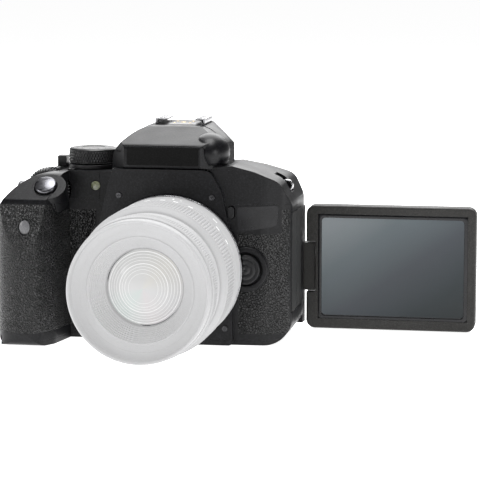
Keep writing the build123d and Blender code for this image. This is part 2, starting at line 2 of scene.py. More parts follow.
# # A reflex camera with its screen swung out
# The casings, dials, keys and hinges come ready made in the imported frame, at their true size.
# Here they get their looks: moulded plastic, leathered rubber, knurled dials, a pale zoom lens.
# Everything is in metres, +Z up, and the lens looks along -Y.

# %% Load the frame
import json
import bmesh
import bpy
import numpy as np
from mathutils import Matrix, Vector


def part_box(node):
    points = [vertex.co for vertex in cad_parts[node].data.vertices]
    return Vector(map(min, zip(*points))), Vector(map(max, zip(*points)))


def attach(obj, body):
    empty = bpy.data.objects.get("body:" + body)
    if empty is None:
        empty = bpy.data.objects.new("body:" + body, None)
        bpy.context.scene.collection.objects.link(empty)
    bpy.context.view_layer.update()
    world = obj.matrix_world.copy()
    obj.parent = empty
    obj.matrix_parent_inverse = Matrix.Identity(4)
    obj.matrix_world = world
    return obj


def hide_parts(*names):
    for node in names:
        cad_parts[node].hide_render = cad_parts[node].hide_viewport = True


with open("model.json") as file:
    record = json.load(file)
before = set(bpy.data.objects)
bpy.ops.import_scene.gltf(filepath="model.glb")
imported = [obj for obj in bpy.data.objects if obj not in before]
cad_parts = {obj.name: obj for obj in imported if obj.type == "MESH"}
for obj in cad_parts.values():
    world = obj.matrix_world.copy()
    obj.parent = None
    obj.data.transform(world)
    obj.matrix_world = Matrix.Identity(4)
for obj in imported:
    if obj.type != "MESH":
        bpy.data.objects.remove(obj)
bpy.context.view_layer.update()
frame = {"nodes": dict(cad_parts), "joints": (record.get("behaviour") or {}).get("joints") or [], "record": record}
parts = frame["nodes"]
joints = {joint["name"]: joint for joint in frame["joints"]}
MM = 0.001

# %% [markdown]
# ## The camera that takes the picture
# A long lens from about a metre away keeps the lines of a small object nearly parallel,
# as in a catalogue. The eye stands a little to the right and a little above.

# %% Camera
scene = bpy.context.scene
scene.view_settings.view_transform = "Standard"
EYE = Vector((0.21032, -1.03435, 0.19642))
TARGET = Vector((0.03103, -0.01506, 0.04654))
FOCAL_LENGTH = 178.4
camera = bpy.data.objects.new("camera", bpy.data.cameras.new("camera"))
camera.location = EYE
camera.rotation_euler = (TARGET - EYE).to_track_quat("-Z", "Y").to_euler()
camera.data.lens = FOCAL_LENGTH
camera.data.clip_start = 0.05
scene.collection.objects.link(camera)
scene.camera = camera
print("camera", round((TARGET - EYE).length, 3), "m away")

# %% [markdown]
# ## Soft studio light
# Black plastic shows its shape only through what it mirrors, so the lamps are big and soft.
# One hangs overhead for the light band along every top edge, one stands front left for the
# grip, and a weak one on the right opens the shadows. A lamp behind draws a thin bright rim.
# The world is white for the camera, but it lights the object with only a twentieth of that.


# %% Lamps, world and floor
def softbox(name, at, size, power, aim=(0, 0, 0.045)):
    """A square lamp of a given side, in metres, turned to face a point."""
    lamp = bpy.data.objects.new(name, bpy.data.lights.new(name, "AREA"))
    lamp.data.shape = "SQUARE"
    lamp.data.size = size
    lamp.data.energy = power
    lamp.location = at
    lamp.rotation_euler = (Vector(aim) - Vector(at)).to_track_quat("-Z", "Y").to_euler()
    scene.collection.objects.link(lamp)
    return lamp


softbox("overhead", (0.05, 0.0, 0.85), 0.5, 9.0)
softbox("front_left", (-0.9, -0.7, 0.4), 0.3, 5.5)
softbox("front_right", (0.95, -0.6, 0.25), 0.3, 3.0)
softbox("behind", (-0.05, 0.8, 0.68), 0.9, 10.0)

world = bpy.data.worlds.new("studio")
scene.world = world
world.use_nodes = True
sky = world.node_tree.nodes["Background"]
sky.inputs["Color"].default_value = (1, 1, 1, 1)
rays = world.node_tree.nodes.new("ShaderNodeLightPath")
strength = world.node_tree.nodes.new("ShaderNodeMapRange")
strength.inputs["To Min"].default_value = 0.05
strength.inputs["To Max"].default_value = 1.0
world.node_tree.links.new(rays.outputs["Is Camera Ray"], strength.inputs["Value"])
world.node_tree.links.new(strength.outputs["Result"], sky.inputs["Strength"])

FLOOR_HALF = 6.0
floor_mesh = bpy.data.meshes.new("floor")
floor_mesh.from_pydata([(x, y, -0.2 * MM) for x, y in
                        ((-FLOOR_HALF, -FLOOR_HALF), (FLOOR_HALF, -FLOOR_HALF),
                         (FLOOR_HALF, FLOOR_HALF), (-FLOOR_HALF, FLOOR_HALF))], [], [(0, 1, 2, 3)])
floor = bpy.data.objects.new("floor", floor_mesh)
scene.collection.objects.link(floor)
print("4 lamps over a floor", 2 * FLOOR_HALF, "m wide")

# %% [markdown]
# ## A small kit for finishes
# A finish is a colour, a gloss and a fine relief. Each of the three can vary over the surface,
# and each variation is a noise or a cell pattern read from the object's own coordinates, so it
# stays put when the part moves. Patterns with sizes in metres need large scale numbers:
# a scale of 1000 makes features about a millimetre wide.


# %% Shader helpers
def add_node(mat, kind, inputs=(), **settings):
    """Adds a shader node. Each input is a number, a colour, or another node's output."""
    new = mat.node_tree.nodes.new("ShaderNode" + kind)
    for key, value in settings.items():
        setattr(new, key, value)
    for key, value in dict(inputs).items():
        if isinstance(value, bpy.types.NodeSocket):
            mat.node_tree.links.new(value, new.inputs[key])
        else:
            new.inputs[key].default_value = value
    return new


def finish(name, colour, roughness, metallic=0.0, **sockets):
    """Starts a finish. Numbers that are the same all over are set on the shader itself."""
    mat = bpy.data.materials.new(name)
    mat.use_nodes = True
    shader = mat.node_tree.nodes["Principled BSDF"]
    shader.inputs["Base Color"].default_value = (*colour, 1)
    shader.inputs["Roughness"].default_value = roughness
    shader.inputs["Metallic"].default_value = metallic
    for key, value in sockets.items():
        shader.inputs[key.replace("_", " ").title().replace("Ior", "IOR")].default_value = value
    return mat


def place(mat):
    """The object's own coordinates, in metres."""
    return add_node(mat, "TexCoord").outputs["Object"]


def noise(mat, scale, detail=2.0, stretch=(1, 1, 1)):
    """A cloudy value from 0 to 1. Stretch above 1 on an axis packs the pattern along it."""
    at = add_node(mat, "Mapping", {"Vector": place(mat), "Scale": stretch})
    return add_node(mat, "TexNoise", {"Vector": at.outputs["Vector"], "Scale": scale,
                                      "Detail": detail}).outputs["Fac"]


def ramp(mat, value, *stops):
    """Turns a value into a colour through (position, grey or colour) stops."""
    new = add_node(mat, "ValToRGB", {"Fac": value})
    bands = new.color_ramp.elements
    while len(bands) < len(stops):
        bands.new(0.5)
    for band, (position, shade) in zip(bands, stops):
        band.position = position
        rgb = shade if isinstance(shade, tuple) else (shade, shade, shade)
        band.color = (*rgb, 1)
    return new.outputs["Color"]


def relief(mat, height, depth, strength=1.0, below=None, rounding=0.0):
    """A bump of a given depth in metres, laid over another bump, or over softly rounded edges."""
    inputs = {"Height": height, "Distance": depth, "Strength": strength}
    if below is not None:
        inputs["Normal"] = below
    elif rounding:
        inputs["Normal"] = add_node(mat, "Bevel", {"Radius": rounding}, samples=4).outputs["Normal"]
    return add_node(mat, "Bump", inputs).outputs["Normal"]


def wire(mat, **outputs):
    """Joins outputs to the shader's sockets, such as base_color or roughness."""
    shader = mat.node_tree.nodes["Principled BSDF"]
    for key, value in outputs.items():
        mat.node_tree.links.new(value, shader.inputs[key.replace("_", " ").title()])
    return mat


EDGE = 0.35 * MM
print("edges are shaded with a rounding of", EDGE / MM, "mm")

# %% [markdown]
# ## Moulded body plastic
# The casings are moulded from glass-filled polycarbonate. The tool is spark-eroded, which leaves
# an even, fine pebble with tiny bright specks, and handling polishes the high spots.
# Two noises do it: a fine one for pebble and specks, a wide one for the uneven polish. The lens
# plastic also emits some light of its own. That gives its pale, flat tone under these lamps, and
# it would show as a glow in a dark room, so for other scenes set glow to 0 and choose the colour anew.


# %% Plastics
PEBBLE = 1500


def moulded(name, dark, light, roughness=0.5, pebble=PEBBLE, depth=0.05 * MM, gloss=0.5,
             speck=2.2, glow=0.0):
    """Satin moulding: fine pebble, brighter specks, and cloudy patches of more or less gloss."""
    mat = finish(name, light, roughness, specular_ior_level=gloss, emission_strength=glow,
                 emission_color=(1, 1, 1, 1))
    fine = noise(mat, pebble, 3.0)
    cloudy = noise(mat, 45, 2.0)
    spread = 0.09
    return wire(mat, base_color=ramp(mat, fine, (0.35, dark), (0.62, light),
                                     (0.76, tuple(speck * c for c in light))),
                roughness=ramp(mat, cloudy, (0.3, roughness - spread), (0.7, roughness + spread)),
                normal=relief(mat, fine, depth, 0.8, rounding=EDGE))


BODY_DARK, BODY_LIGHT = (0.002, 0.002, 0.0024), (0.0075, 0.0075, 0.0088)
body_plastic = moulded("body_plastic", BODY_DARK, BODY_LIGHT, 0.38, gloss=0.24)
screen_plastic = moulded("screen_plastic", (0.012, 0.0116, 0.0108), (0.026, 0.025, 0.0235), 0.5, 2600,
                         0.03 * MM, 0.3)
key_plastic = moulded("key_plastic", (0.005, 0.005, 0.0055), (0.011, 0.011, 0.012), 0.34, 3200,
                      0.012 * MM, 0.35)
inner_plastic = moulded("inner_plastic", (0.0015, 0.0015, 0.0015), (0.004, 0.004, 0.004), 0.6, gloss=0.12)
dial_plastic = moulded("dial_plastic", (0.004, 0.004, 0.0045), (0.012, 0.012, 0.013), 0.3, 3000,
                       0.01 * MM, 0.5)
lens_plastic = moulded("lens_plastic", (0.20, 0.20, 0.205), (0.22, 0.22, 0.225), 0.45, 2600,
                       0.01 * MM, 0.2, 1.05, 0.36)
battery_shell = moulded("battery_shell", (0.05, 0.05, 0.055), (0.08, 0.08, 0.085), 0.6)
print("body plastic pebble is about", round(1000 / PEBBLE, 2), "mm")

# %% [markdown]
# ## Leathered rubber
# The grip wears a thin rubber skin pressed with a leather grain: rounded islands about a
# millimetre wide, parted by creases whose colour is painted darker, as painted shade. A cell pattern gives the
# creases as the distance to the cell's edge, and a noise bends the cells so that no two are alike. The lens rubber
# is plain and emits light, as the lens plastic does.


# %% Rubbers
LEATHER_CELL = 880


def leathered(name, crease_shade, island, cell=LEATHER_CELL, depth=0.32 * MM):
    """Islands of a bent cell pattern. Height is the distance to the nearest cell edge, flattened on top. The
    creases get a darker colour as painted shade.
    """
    mat = finish(name, island, 0.5, specular_ior_level=0.42)
    at = place(mat)
    bend = add_node(mat, "TexNoise", {"Vector": at, "Scale": 700, "Detail": 1.0})
    bent = add_node(mat, "VectorMath", {0: bend.outputs["Color"], 1: (0.0007, 0.0007, 0.0007)},
                    operation="MULTIPLY")
    where = add_node(mat, "VectorMath", {0: at, 1: bent.outputs["Vector"]}, operation="ADD")
    cells = add_node(mat, "TexVoronoi", {"Vector": where.outputs["Vector"], "Scale": cell},
                     feature="DISTANCE_TO_EDGE").outputs["Distance"]
    islands = ramp(mat, cells, (0.0, 0.0), (0.16, 0.75), (0.4, 1.0))
    fine = noise(mat, 3500, 2.0)
    normal = relief(mat, islands, depth, 1.0, rounding=EDGE)
    # Base colour: creases darker than the islands, as painted shade.
    return wire(mat, base_color=ramp(mat, cells, (0.02, crease_shade), (0.22, island)),
                roughness=ramp(mat, fine, (0.3, 0.24), (0.7, 0.42)),
                normal=relief(mat, fine, 0.02 * MM, 0.5, below=normal))


grip_skin = leathered("grip_skin", (0.001, 0.001, 0.001), (0.013, 0.013, 0.0135), depth=0.5 * MM)
soft_rubber = moulded("soft_rubber", (0.007, 0.007, 0.007), (0.014, 0.014, 0.014), 0.68, 2200, 0.03 * MM)
lens_rubber = moulded("lens_rubber", (0.20, 0.20, 0.205), (0.23, 0.23, 0.235), 0.55, 2400,
                      0.01 * MM, 0.2, 1.05, 0.33)
print("leather islands are about", round(1000 / LEATHER_CELL, 2), "mm")

# %% [markdown]
# ## Metals and glass
# Rails and eyelets are brushed stainless steel, the shutter button is plated a dark satin grey,
# and the screws are black zinc. Brushing is a noise stretched until it turns into streaks. The
# bright rings and the white marks on the lens emit light, like the lens plastic.


# %% Metals, glass and the rest
def brushed(name, dark, light, roughness, along=(1, 14, 1)):
    """Metal with streaks: a noise packed across the brushing direction."""
    mat = finish(name, light, roughness, metallic=1.0)
    streak = noise(mat, 420, 3.0, along)
    return wire(mat, base_color=ramp(mat, streak, (0.3, dark), (0.7, light)),
                roughness=ramp(mat, streak, (0.3, roughness - 0.06), (0.7, roughness + 0.08)),
                normal=relief(mat, streak, 0.01 * MM, 0.5, rounding=EDGE))


bright_steel = brushed("bright_steel", (0.32, 0.32, 0.33), (0.52, 0.52, 0.53), 0.26)
shutter_metal = brushed("shutter_metal", (0.10, 0.10, 0.11), (0.15, 0.15, 0.16), 0.3, (1, 3, 1))
black_zinc = brushed("black_zinc", (0.05, 0.05, 0.052), (0.10, 0.10, 0.105), 0.32)
gold_contact = brushed("gold_contact", (0.6, 0.42, 0.16), (0.8, 0.6, 0.28), 0.3)
silvered = brushed("silvered", (0.75, 0.75, 0.77), (0.85, 0.85, 0.87), 0.1)


def glossy(name, low, high, roughness=0.08, scale=300, **sockets):
    """A smooth clear or coated skin over a faintly cloudy colour."""
    mat = finish(name, high, roughness, **sockets)
    haze = noise(mat, scale, 1.0)
    smear = noise(mat, 60, 3.0)
    return wire(mat, base_color=ramp(mat, haze, (0.35, low), (0.65, high)),
                roughness=ramp(mat, smear, (0.4, roughness), (0.75, roughness + 0.06)))


lamp_window = glossy("lamp_window", (0.12, 0.13, 0.08), (0.22, 0.23, 0.15), 0.2, 900, coat_weight=0.4)
sensor_window = glossy("sensor_window", (0.10, 0.10, 0.105), (0.15, 0.15, 0.155), 0.3, 1400)
badge_gloss = glossy("badge_gloss", (0.007, 0.007, 0.008), (0.011, 0.011, 0.0125), 0.18, 200,
                     specular_ior_level=0.3)
lens_bright = glossy("lens_bright", (0.28, 0.28, 0.28), (0.3, 0.3, 0.3), 0.4, 800,
                     emission_strength=0.55, emission_color=(1, 1, 1, 1))
clear_glass = glossy("clear_glass", (0.70, 0.72, 0.74), (0.78, 0.80, 0.82), 0.04,
                     transmission_weight=0.55, ior=1.5, coat_weight=0.3)
circuit = glossy("circuit", (0.01, 0.07, 0.03), (0.02, 0.12, 0.05), 0.3, 1200)
mark_white = glossy("mark_white", (0.80, 0.80, 0.80), (0.9, 0.9, 0.9), 0.4, 800)
lens_white = glossy("lens_white", (0.4, 0.4, 0.4), (0.45, 0.45, 0.45), 0.4, 800,
                    emission_strength=0.62, emission_color=(1, 1, 1, 1))
print("metals and glosses ready")

# %% [markdown]
# ## The cover glass of the screen
# Switched off, the panel under the glass is slate grey. Its colour is painted lighter towards the
# upper left, a painted reflection of a soft lamp, and this painted tone runs along a slanted line across the
# piece.

# %% Screen glass finish
glass_low, glass_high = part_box("screen_glass")
glass_size = glass_high - glass_low
screen_glass = finish("screen_glass", (0.1, 0.1, 0.1), 0.2, specular_ior_level=0.2)
split = add_node(screen_glass, "SeparateXYZ", {"Vector": place(screen_glass)}).outputs
sideways = add_node(screen_glass, "MapRange", {"Value": split["X"], "From Min": glass_low.x,
                                               "From Max": glass_high.x, "To Min": 0.0, "To Max": 0.5})
upright = add_node(screen_glass, "MapRange", {"Value": split["Z"], "From Min": glass_high.z,
                                              "From Max": glass_low.z, "To Min": 0.0, "To Max": 0.5})
painted_reflection_slant = add_node(screen_glass, "Math", {0: sideways.outputs["Result"], 1: upright.outputs["Result"]},
                 operation="ADD").outputs["Value"]
# The base colour ramp paints a reflection: pale at the upper left, dark slate at the lower right.
wire(screen_glass,
     base_color=ramp(screen_glass, painted_reflection_slant, (0.0, (0.24, 0.262, 0.275)), (0.3, (0.10, 0.12, 0.13)),
                     (0.55, (0.045, 0.052, 0.06)), (0.8, (0.018, 0.024, 0.027)),
                     (1.0, (0.012, 0.015, 0.016))),
     roughness=ramp(screen_glass, noise(screen_glass, 40, 3.0), (0.4, 0.1), (0.75, 0.2)))
print("glass", round(glass_size.x / MM, 1), "x", round(glass_size.z / MM, 1), "mm")

# %% [markdown]
# ## The floor's finish
# A pale, flat sheet of paper with hardly any texture, so that nothing competes with the object.
# It emits light as well, so that it stays almost white where the lamps fall off.

# %% Floor finish
paper = moulded("paper", (0.84, 0.84, 0.84), (0.88, 0.88, 0.88), 0.7, 400, 0.02 * MM)
paper_shader = paper.node_tree.nodes["Principled BSDF"]
paper_shader.inputs["Emission Color"].default_value = (1, 1, 1, 1)
paper_shader.inputs["Emission Strength"].default_value = 0.93
floor.data.materials.append(paper)
print("floor is", paper.name)

# %% [markdown]
# ## Every part of the frame gets a finish
# The record gives each part a material slot, and each slot has one finish here. A few parts
# are then given a finish of their own: soft rubber for the eyecup and the terminal covers, and
# a gloss for the blank badge.

# %% Finishes by slot
FINISHES = {
    "body_plastic": body_plastic, "grip_rubber": grip_skin, "screen_plastic": screen_plastic,
    "control_plastic": key_plastic, "dial_plastic": dial_plastic, "shutter_metal": shutter_metal,
    "bright_steel": bright_steel, "screw_steel": black_zinc, "lens_plastic": lens_plastic,
    "lens_rubber": lens_rubber, "lens_glass": clear_glass, "screen_glass": screen_glass,
    "display": badge_gloss, "clear_window": lamp_window, "sensor_window": sensor_window,
    "chassis_plastic": inner_plastic, "mirror": silvered, "circuit": circuit, "battery": battery_shell,
}
OWN_FINISH = {
    "eyecup": soft_rubber, "terminal_cover_front": soft_rubber, "terminal_cover_rear": soft_rubber,
    "badge_plate": badge_gloss,
}
slot_of = {row["node"]: row["material_slot"] for row in frame["record"]["subparts"]}
for name, part in parts.items():
    part.data.materials.clear()
    part.data.materials.append(OWN_FINISH.get(name, FINISHES[slot_of[name]]))
print(len(set(slot_of.values())), "slots in use")

# %% [markdown]
# ## Surfaces from numbers
# Every new piece is a grid of points: rows follow an outline, columns go round an axis or along
# a path. The whole grid is worked out at once, then handed to the mesh. Corners of an outline are
# rounded first, because no moulded edge is really sharp, and sharp edges look drawn.


# %% Grid helpers
def soften(points, radius, steps=4, closed=True):
    """Rounds each corner P with the curve (1-t)^2 S + 2t(1-t) P + t^2 E.
    S and E lie on the two sides next to P, at most a radius away and never past their middles."""
    corner = np.array(points, float)
    before, after = np.roll(corner, 1, 0) - corner, np.roll(corner, -1, 0) - corner
    lengths = np.linalg.norm([before, after], axis=2)
    cut = np.minimum(radius, 0.48 * lengths.min(0))[:, None]
    start = corner + before / lengths[0][:, None] * cut
    end = corner + after / lengths[1][:, None] * cut
    t = np.linspace(0, 1, steps)[None, :, None]
    curve = (1 - t) ** 2 * start[:, None] + 2 * t * (1 - t) * corner[:, None] + t ** 2 * end[:, None]
    if closed:
        return curve.reshape(-1, 2)
    return np.vstack([corner[:1], curve[1:-1].reshape(-1, 2), corner[-1:]])


def grid_faces(rows, columns, wrap_rows, wrap_columns):
    """The quads of a grid of points, as rows of four point numbers, joined at wrapped ends."""
    r = np.arange(rows if wrap_rows else rows - 1)[:, None]
    c = np.arange(columns if wrap_columns else columns - 1)[None, :]
    r2, c2 = (r + 1) % rows, (c + 1) % columns
    quads = np.stack([r * columns + c, r * columns + c2, r2 * columns + c2, r2 * columns + c], -1)
    return quads.reshape(-1, 4)


def make_piece(name, points, faces, mat, body, replaced=(), slot=None, smooth_angle=38):
    """Builds the mesh from whole arrays, closes its poles, turns its faces outwards,
    hangs the piece under its body and hides the parts that it replaces."""
    mesh = bpy.data.meshes.new(name)
    mesh.from_pydata(np.asarray(points, float).reshape(-1, 3), [], faces.tolist())
    work = bmesh.new()
    work.from_mesh(mesh)
    bmesh.ops.remove_doubles(work, verts=work.verts, dist=1e-7)
    bmesh.ops.recalc_face_normals(work, faces=work.faces)
    work.to_mesh(mesh)
    work.free()
    mesh.shade_smooth()
    mesh.set_sharp_from_angle(angle=np.radians(smooth_angle))
    mesh.materials.append(mat)
    piece = bpy.data.objects.new(name, mesh)
    scene.collection.objects.link(piece)
    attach(piece, body)
    if replaced:
        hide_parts(*replaced)
    return piece


def axes_for(way):
    """Two directions square to a way and to each other."""
    way = np.array(way, float) / np.linalg.norm(way)
    side = np.cross(way, (0, 0, 1.0)) if abs(way[2]) < 0.9 else np.array([1.0, 0, 0])
    side /= np.linalg.norm(side)
    return way, side, np.cross(way, side)


def turned(outline, centre, way, steps=96, relief_of=None, closed=True):
    """A turned shape: point = centre + along * way + (radius + relief) * (cos a * side + sin a * up).
    The outline is rows of (radius, along), and relief depends on along, radius and the angle a."""
    way, side, up = axes_for(way)
    outline = np.asarray(outline, float)
    angle = np.linspace(0, 2 * np.pi, steps, endpoint=False)[None, :]
    radius, along = outline[:, :1], outline[:, 1:]
    swell = relief_of(along, radius, angle) if relief_of else 0.0
    reach = radius + swell
    points = (np.array(centre) + along[..., None] * way
              + (reach * np.cos(angle))[..., None] * side + (reach * np.sin(angle))[..., None] * up)
    return points, grid_faces(len(outline), steps, closed, True)


def band(value, low, high, edge):
    """1 between low and high, falling smoothly to 0 over an edge's width outside them."""
    inside = np.minimum(value - low, high - value) / edge + 1
    t = np.clip(inside, 0, 1)
    return t * t * (3 - 2 * t)


def joined(*grids):
    """Several grids of points and their faces, as one."""
    points = [np.asarray(p).reshape(-1, 3) for p, f in grids]
    starts = np.cumsum([0] + [len(p) for p in points[:-1]])
    return np.vstack(points), np.vstack([f + s for (p, f), s in zip(grids, starts)])


print("a test square grid has", len(grid_faces(3, 3, False, False)), "faces")

# %% [markdown]
# ## The zoom lens: barrel and rubber rings
# The barrel stays with the body, the zoom ring turns on it, and the front tube slides out.
# All are turned parts, so each is an outline carried round the lens axis. The fine ribs that a
# finger grips are a wave added to the radius, only where the rubber band is.

# %% Lens barrel, zoom ring and focus ring
LENS_WAY = (0, -1, 0)
axis_point = Vector(joints["zoom_turn"]["pos_m"])


def span(node):
    """How far in front of the mount flange a part of the lens starts and ends."""
    low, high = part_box(node)
    return axis_point.y - high.y, axis_point.y - low.y


def outer_radius(node):
    """Half the height of a round part."""
    low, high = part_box(node)
    return (high.z - low.z) / 2


def ribs(count, depth, low, high):
    """Round-topped ribs: depth * (0.5 - 0.5 cos(count * a)) sunk below the radius, inside a band."""
    def sink(along, radius, angle):
        wave = (0.5 + 0.5 * np.cos(count * angle)) ** 1.6
        return -depth * wave * band(along, low, high, 0.5 * MM) * (radius > 0.93 * radius.max())
    return sink


ZOOM_RIBS, FOCUS_RIBS = 144, 180
barrel_end = span("lens_barrel")[1]
barrel_r = outer_radius("lens_barrel")
inner_r = barrel_r - 4 * MM
barrel_outline = soften([
    (inner_r, 0), (barrel_r - 0.5 * MM, 0), (barrel_r - 0.5 * MM, 3.4 * MM),
    (barrel_r - 1.0 * MM, 3.8 * MM), (barrel_r, 4.6 * MM), (barrel_r, 12.4 * MM),
    (barrel_r - 0.5 * MM, 12.9 * MM), (29.8 * MM, 12.9 * MM),
    (29.8 * MM, barrel_end - 0.2 * MM), (inner_r, barrel_end - 0.2 * MM)], 0.3 * MM)
shape = turned(barrel_outline, axis_point, LENS_WAY, 160)
make_piece("lens_barrel_shell", *shape, lens_plastic, "body", ["lens_barrel"], "lens_plastic")

zoom_start, zoom_end = span("zoom_ring")
zoom_r = outer_radius("zoom_ring")
rib_low, rib_high = zoom_start + 6.0 * MM, zoom_end - 3.2 * MM
zoom_outline = soften([
    (30.1 * MM, zoom_start), (zoom_r - 0.3 * MM, zoom_start), (zoom_r - 0.1 * MM, zoom_start + 4.6 * MM),
    (zoom_r - 0.7 * MM, zoom_start + 5.0 * MM), (zoom_r, zoom_start + 5.6 * MM),
    *[(zoom_r, a) for a in np.linspace(rib_low, rib_high, 14)], (zoom_r, zoom_end - 2.6 * MM),
    (zoom_r - 0.8 * MM, zoom_end - 2.1 * MM), (zoom_r - 0.5 * MM, zoom_end - 1.6 * MM),
    (zoom_r - 2.2 * MM, zoom_end), (30.1 * MM, zoom_end)], 0.2 * MM, 3)
shape = turned(zoom_outline, axis_point, LENS_WAY, 1440, ribs(ZOOM_RIBS, 0.55 * MM, rib_low, rib_high))
make_piece("zoom_ring_rubber", *shape, lens_rubber, "zoom_ring", ["zoom_ring"], "lens_rubber")

focus_start, focus_end = span("focus_ring")
focus_r = outer_radius("focus_ring")
focus_outline = soften([
    (29.9 * MM, focus_start), (focus_r - 0.4 * MM, focus_start),
    *[(focus_r, a) for a in np.linspace(focus_start + 1.2 * MM, focus_end - 1.2 * MM, 8)],
    (focus_r - 0.4 * MM, focus_end), (29.9 * MM, focus_end)], 0.25 * MM, 3)
shape = turned(focus_outline, axis_point, LENS_WAY, 1440,
               ribs(FOCUS_RIBS, 0.4 * MM, focus_start + 1.6 * MM, focus_end - 1.6 * MM))
make_piece("focus_ring_rubber", *shape, lens_rubber, "focus_ring", ["focus_ring"], "lens_rubber")
print("zoom ring", round(2 * zoom_r / MM, 1), "mm across with", ZOOM_RIBS, "ribs")

# %% [markdown]
# ## The front tube, its thread and the stepped funnel
# The front tube carries a bright edge, a filter thread cut inside the rim, a sloping ring where
# makers print the lens data, and a funnel of fine steps that keeps stray light off the glass.
# The print is left out. The thread is a row of small triangular grooves in the outline.

# %% Front tube and funnel
tube_start, tube_end = span("zoom_tube")
rim_r = 30.5 * MM
bore_r = 28.95 * MM
thread = np.linspace(tube_end - 0.6 * MM, tube_end - 4.6 * MM, 17)
thread_r = bore_r + 0.3 * MM * (np.arange(17) % 2)
tube_outline = np.vstack([
    soften([(26.0 * MM, tube_start), (28.5 * MM, tube_start), (28.5 * MM, 38.9 * MM),
            (30.1 * MM, 38.9 * MM), (rim_r, 39.6 * MM), (rim_r, 46.2 * MM),
            (29.6 * MM, 46.9 * MM), (29.6 * MM, 57.0 * MM), (30.2 * MM, 57.0 * MM),
            (rim_r, 57.5 * MM), (rim_r, tube_end - 0.7 * MM), (rim_r - 0.5 * MM, tube_end),
            (bore_r + 0.7 * MM, tube_end), (bore_r + 0.3 * MM, tube_end - 0.4 * MM)], 0.2 * MM, 3),
    np.stack([thread_r, thread], 1),
    [(28.6 * MM, 57.9 * MM), (26.0 * MM, 57.4 * MM)]])
shape = turned(tube_outline, axis_point, LENS_WAY, 200)
make_piece("front_tube", *shape, lens_plastic, "zoom_tube", ["zoom_tube"], "lens_plastic")

funnel_start, funnel_end = span("lens_front_ring")
label_r, mouth_r, throat_r = 28.5 * MM, 22.2 * MM, 16.4 * MM
step_count = 9
step = np.arange(step_count + 1)
step_r = mouth_r + (throat_r - mouth_r) * step / step_count
step_depth = funnel_end + (funnel_start - funnel_end) * step / step_count
stairs = np.stack([np.repeat(step_r, 2)[:-1], np.repeat(step_depth, 2)[1:]], 1)
funnel_outline = np.vstack([
    soften([(25.8 * MM, funnel_start), (25.8 * MM, funnel_end - 1.0 * MM),
            (label_r - 0.2 * MM, 57.0 * MM), (label_r, 57.7 * MM), (label_r - 1.4 * MM, 57.6 * MM),
            (mouth_r + 1.0 * MM, funnel_end + 0.15 * MM),
            (mouth_r + 0.6 * MM, funnel_end + 0.5 * MM), (mouth_r, funnel_end + 0.4 * MM)], 0.15 * MM, 3),
    stairs])
shape = turned(funnel_outline, axis_point, LENS_WAY, 160)
make_piece("stepped_funnel", *shape, lens_plastic, "zoom_tube", ["lens_front_ring"], "lens_plastic")
print(step_count, "steps from", round(2 * mouth_r / MM), "to", round(2 * throat_r / MM), "mm")

# %% [markdown]
# ## The front glass and its coating
# The front element is a shallow dome: along = crown - (R - sqrt(R^2 - r^2)). The faint green and
# rose that its coating mirrors are painted reflection here: they turn with the angle round the axis and are
# emitted, not mirrored, over a glow that gives the glass its pale tone.
# Thin bright rings lie on the dome and stand for the rings that hold the elements behind it; their brightness is a
# painted glint, emitted light.

# %% Front element
glass_start, glass_end = span("front_element")
glass_r = outer_radius("front_element")
CURVE = 30 * MM


def dome_outline(radius, crown, curve, back, rows=18):
    """A dome from its middle to its rim, then back along its edge to the axis."""
    r = np.linspace(0, radius, rows)
    along = crown - (curve - np.sqrt(curve ** 2 - r ** 2))
    return np.vstack([np.stack([r, along], 1), [(radius, back), (0, back)]])


coated_glass = finish("coated_glass", (0.2, 0.2, 0.2), 0.3, specular_ior_level=0.3,
                      coat_weight=0.12, coat_roughness=0.12, emission_strength=0.58)
from_axis = add_node(coated_glass, "VectorMath", {0: place(coated_glass), 1: tuple(axis_point)},
                     operation="SUBTRACT").outputs["Vector"]
tint = add_node(coated_glass, "TexGradient", {"Vector": add_node(
    coated_glass, "Mapping", {"Vector": from_axis, "Rotation": (1.5708, 0, 0)}).outputs["Vector"]},
    gradient_type="RADIAL").outputs["Fac"]
# The emission colour is a painted reflection: the coating's green and rose, by angle round the axis, over an even
# glow.
painted_coating_tint = ramp(coated_glass, tint, (0.0, (0.74, 0.74, 0.74)), (0.25, (0.74, 0.74, 0.73)),
               (0.375, (0.78, 0.76, 0.71)), (0.55, (0.73, 0.73, 0.74)), (0.72, (0.76, 0.72, 0.73)),
               (0.85, (0.66, 0.75, 0.72)), (0.92, (0.68, 0.75, 0.73)), (1.0, (0.74, 0.74, 0.74)))
wire(coated_glass, emission_color=painted_coating_tint)
glass_outline = dome_outline(glass_r, glass_end, CURVE, glass_start)
shape = turned(glass_outline, axis_point, LENS_WAY, 120, closed=False)
make_piece("front_glass", *shape, coated_glass, "zoom_tube", ["front_element"], "lens_glass")
# These rings emit light: a painted glint of the retaining rings behind the glass.
ring_radii = np.array([6.4, 8.0, 9.2, 10.4, 11.8, 13.0, 14.2, 15.3]) * MM
ring_widths = np.array([0.07, 0.08, 0.08, 0.16, 0.08, 0.08, 0.08, 0.17]) * MM
ring_places = glass_end - (CURVE - np.sqrt(CURVE ** 2 - ring_radii ** 2)) - 0.1 * MM
glints = [turned([(r - w, d), (r + w, d), (r + w, d + 0.22 * MM), (r - w, d + 0.22 * MM)],
                 axis_point, LENS_WAY, 120)
          for r, w, d in zip(ring_radii, ring_widths, ring_places)]
make_piece("painted_glint_rings", *joined(*glints), lens_bright, "zoom_tube", slot="lens_plastic")
print("front glass", round(2 * glass_r / MM, 1), "mm across")

# %% [markdown]
# ## The mode dial
# A knurled knob: two families of slanted waves cross, and where both are high a little pyramid
# stands, height = depth * lower of two triangle waves. The top is a cap with a bright printed
# ring. The marks on a real dial stand for shooting modes, and here they are plain bars and dots.


